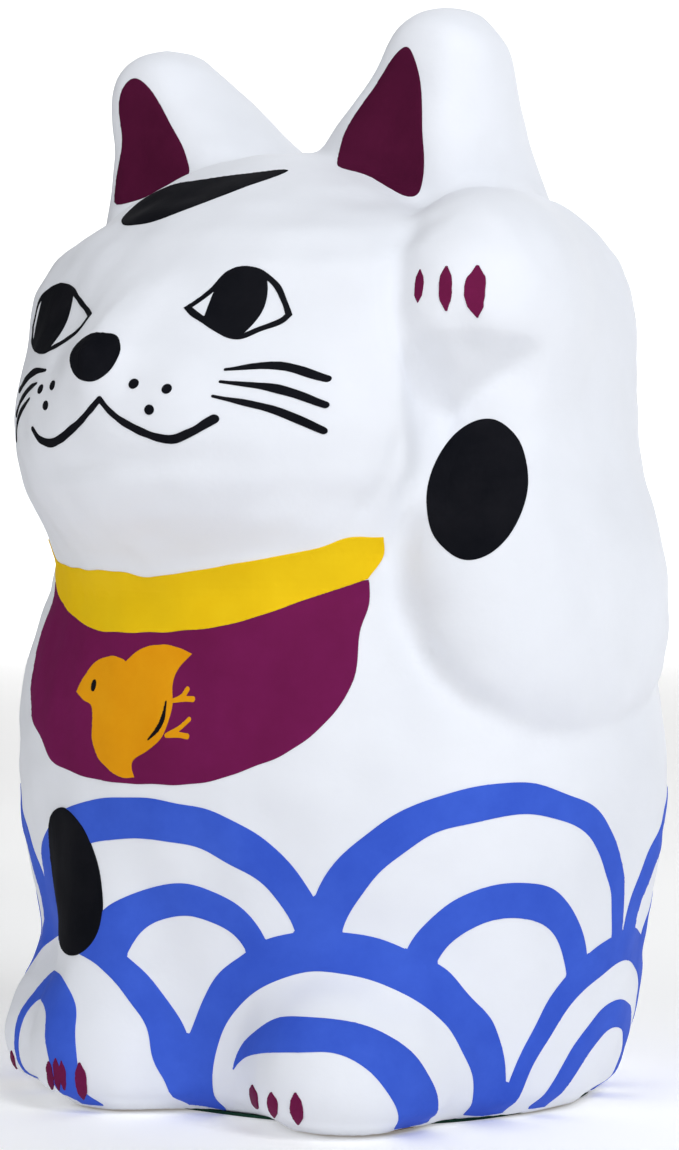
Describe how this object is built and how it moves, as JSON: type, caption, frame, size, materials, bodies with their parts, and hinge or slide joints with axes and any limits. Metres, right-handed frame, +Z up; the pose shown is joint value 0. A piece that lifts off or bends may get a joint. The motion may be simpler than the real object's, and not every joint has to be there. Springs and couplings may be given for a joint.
{
  "type": "beckoning cat figurine",
  "caption": "Seated hollow paper cat with one raised paw, painted face, collar, bib and wave pattern, closed below by a card base",
  "frame": {"origin": "centre of the underside, on the surface that the figurine stands on", "axes": "+Z up through the ear tips, -Y the way the cat faces, +X the cat's own left side with the raised paw"},
  "size_m": [0.111, 0.1022, 0.16],
  "materials": {
    "painted_paper": "moulded paper under a matt white ground, hand painted",
    "paper_strip": "bare unbleached paper",
    "base_card": "bare card",
    "facing_paper": "matt dark green paper",
    "clay": "dried unfired clay"
  },
  "bodies": {
    "root": {"front_shell": "painted_paper", "back_shell": "painted_paper", "left_ear": "painted_paper", "right_ear": "painted_paper", "raised_arm": "painted_paper", "crown_strip": "paper_strip", "left_seam_strip": "paper_strip", "right_seam_strip": "paper_strip", "base_board": "base_card", "base_facing": "facing_paper", "base_strip": "paper_strip", "clay_weight": "clay"}
  },
  "joints": []
}
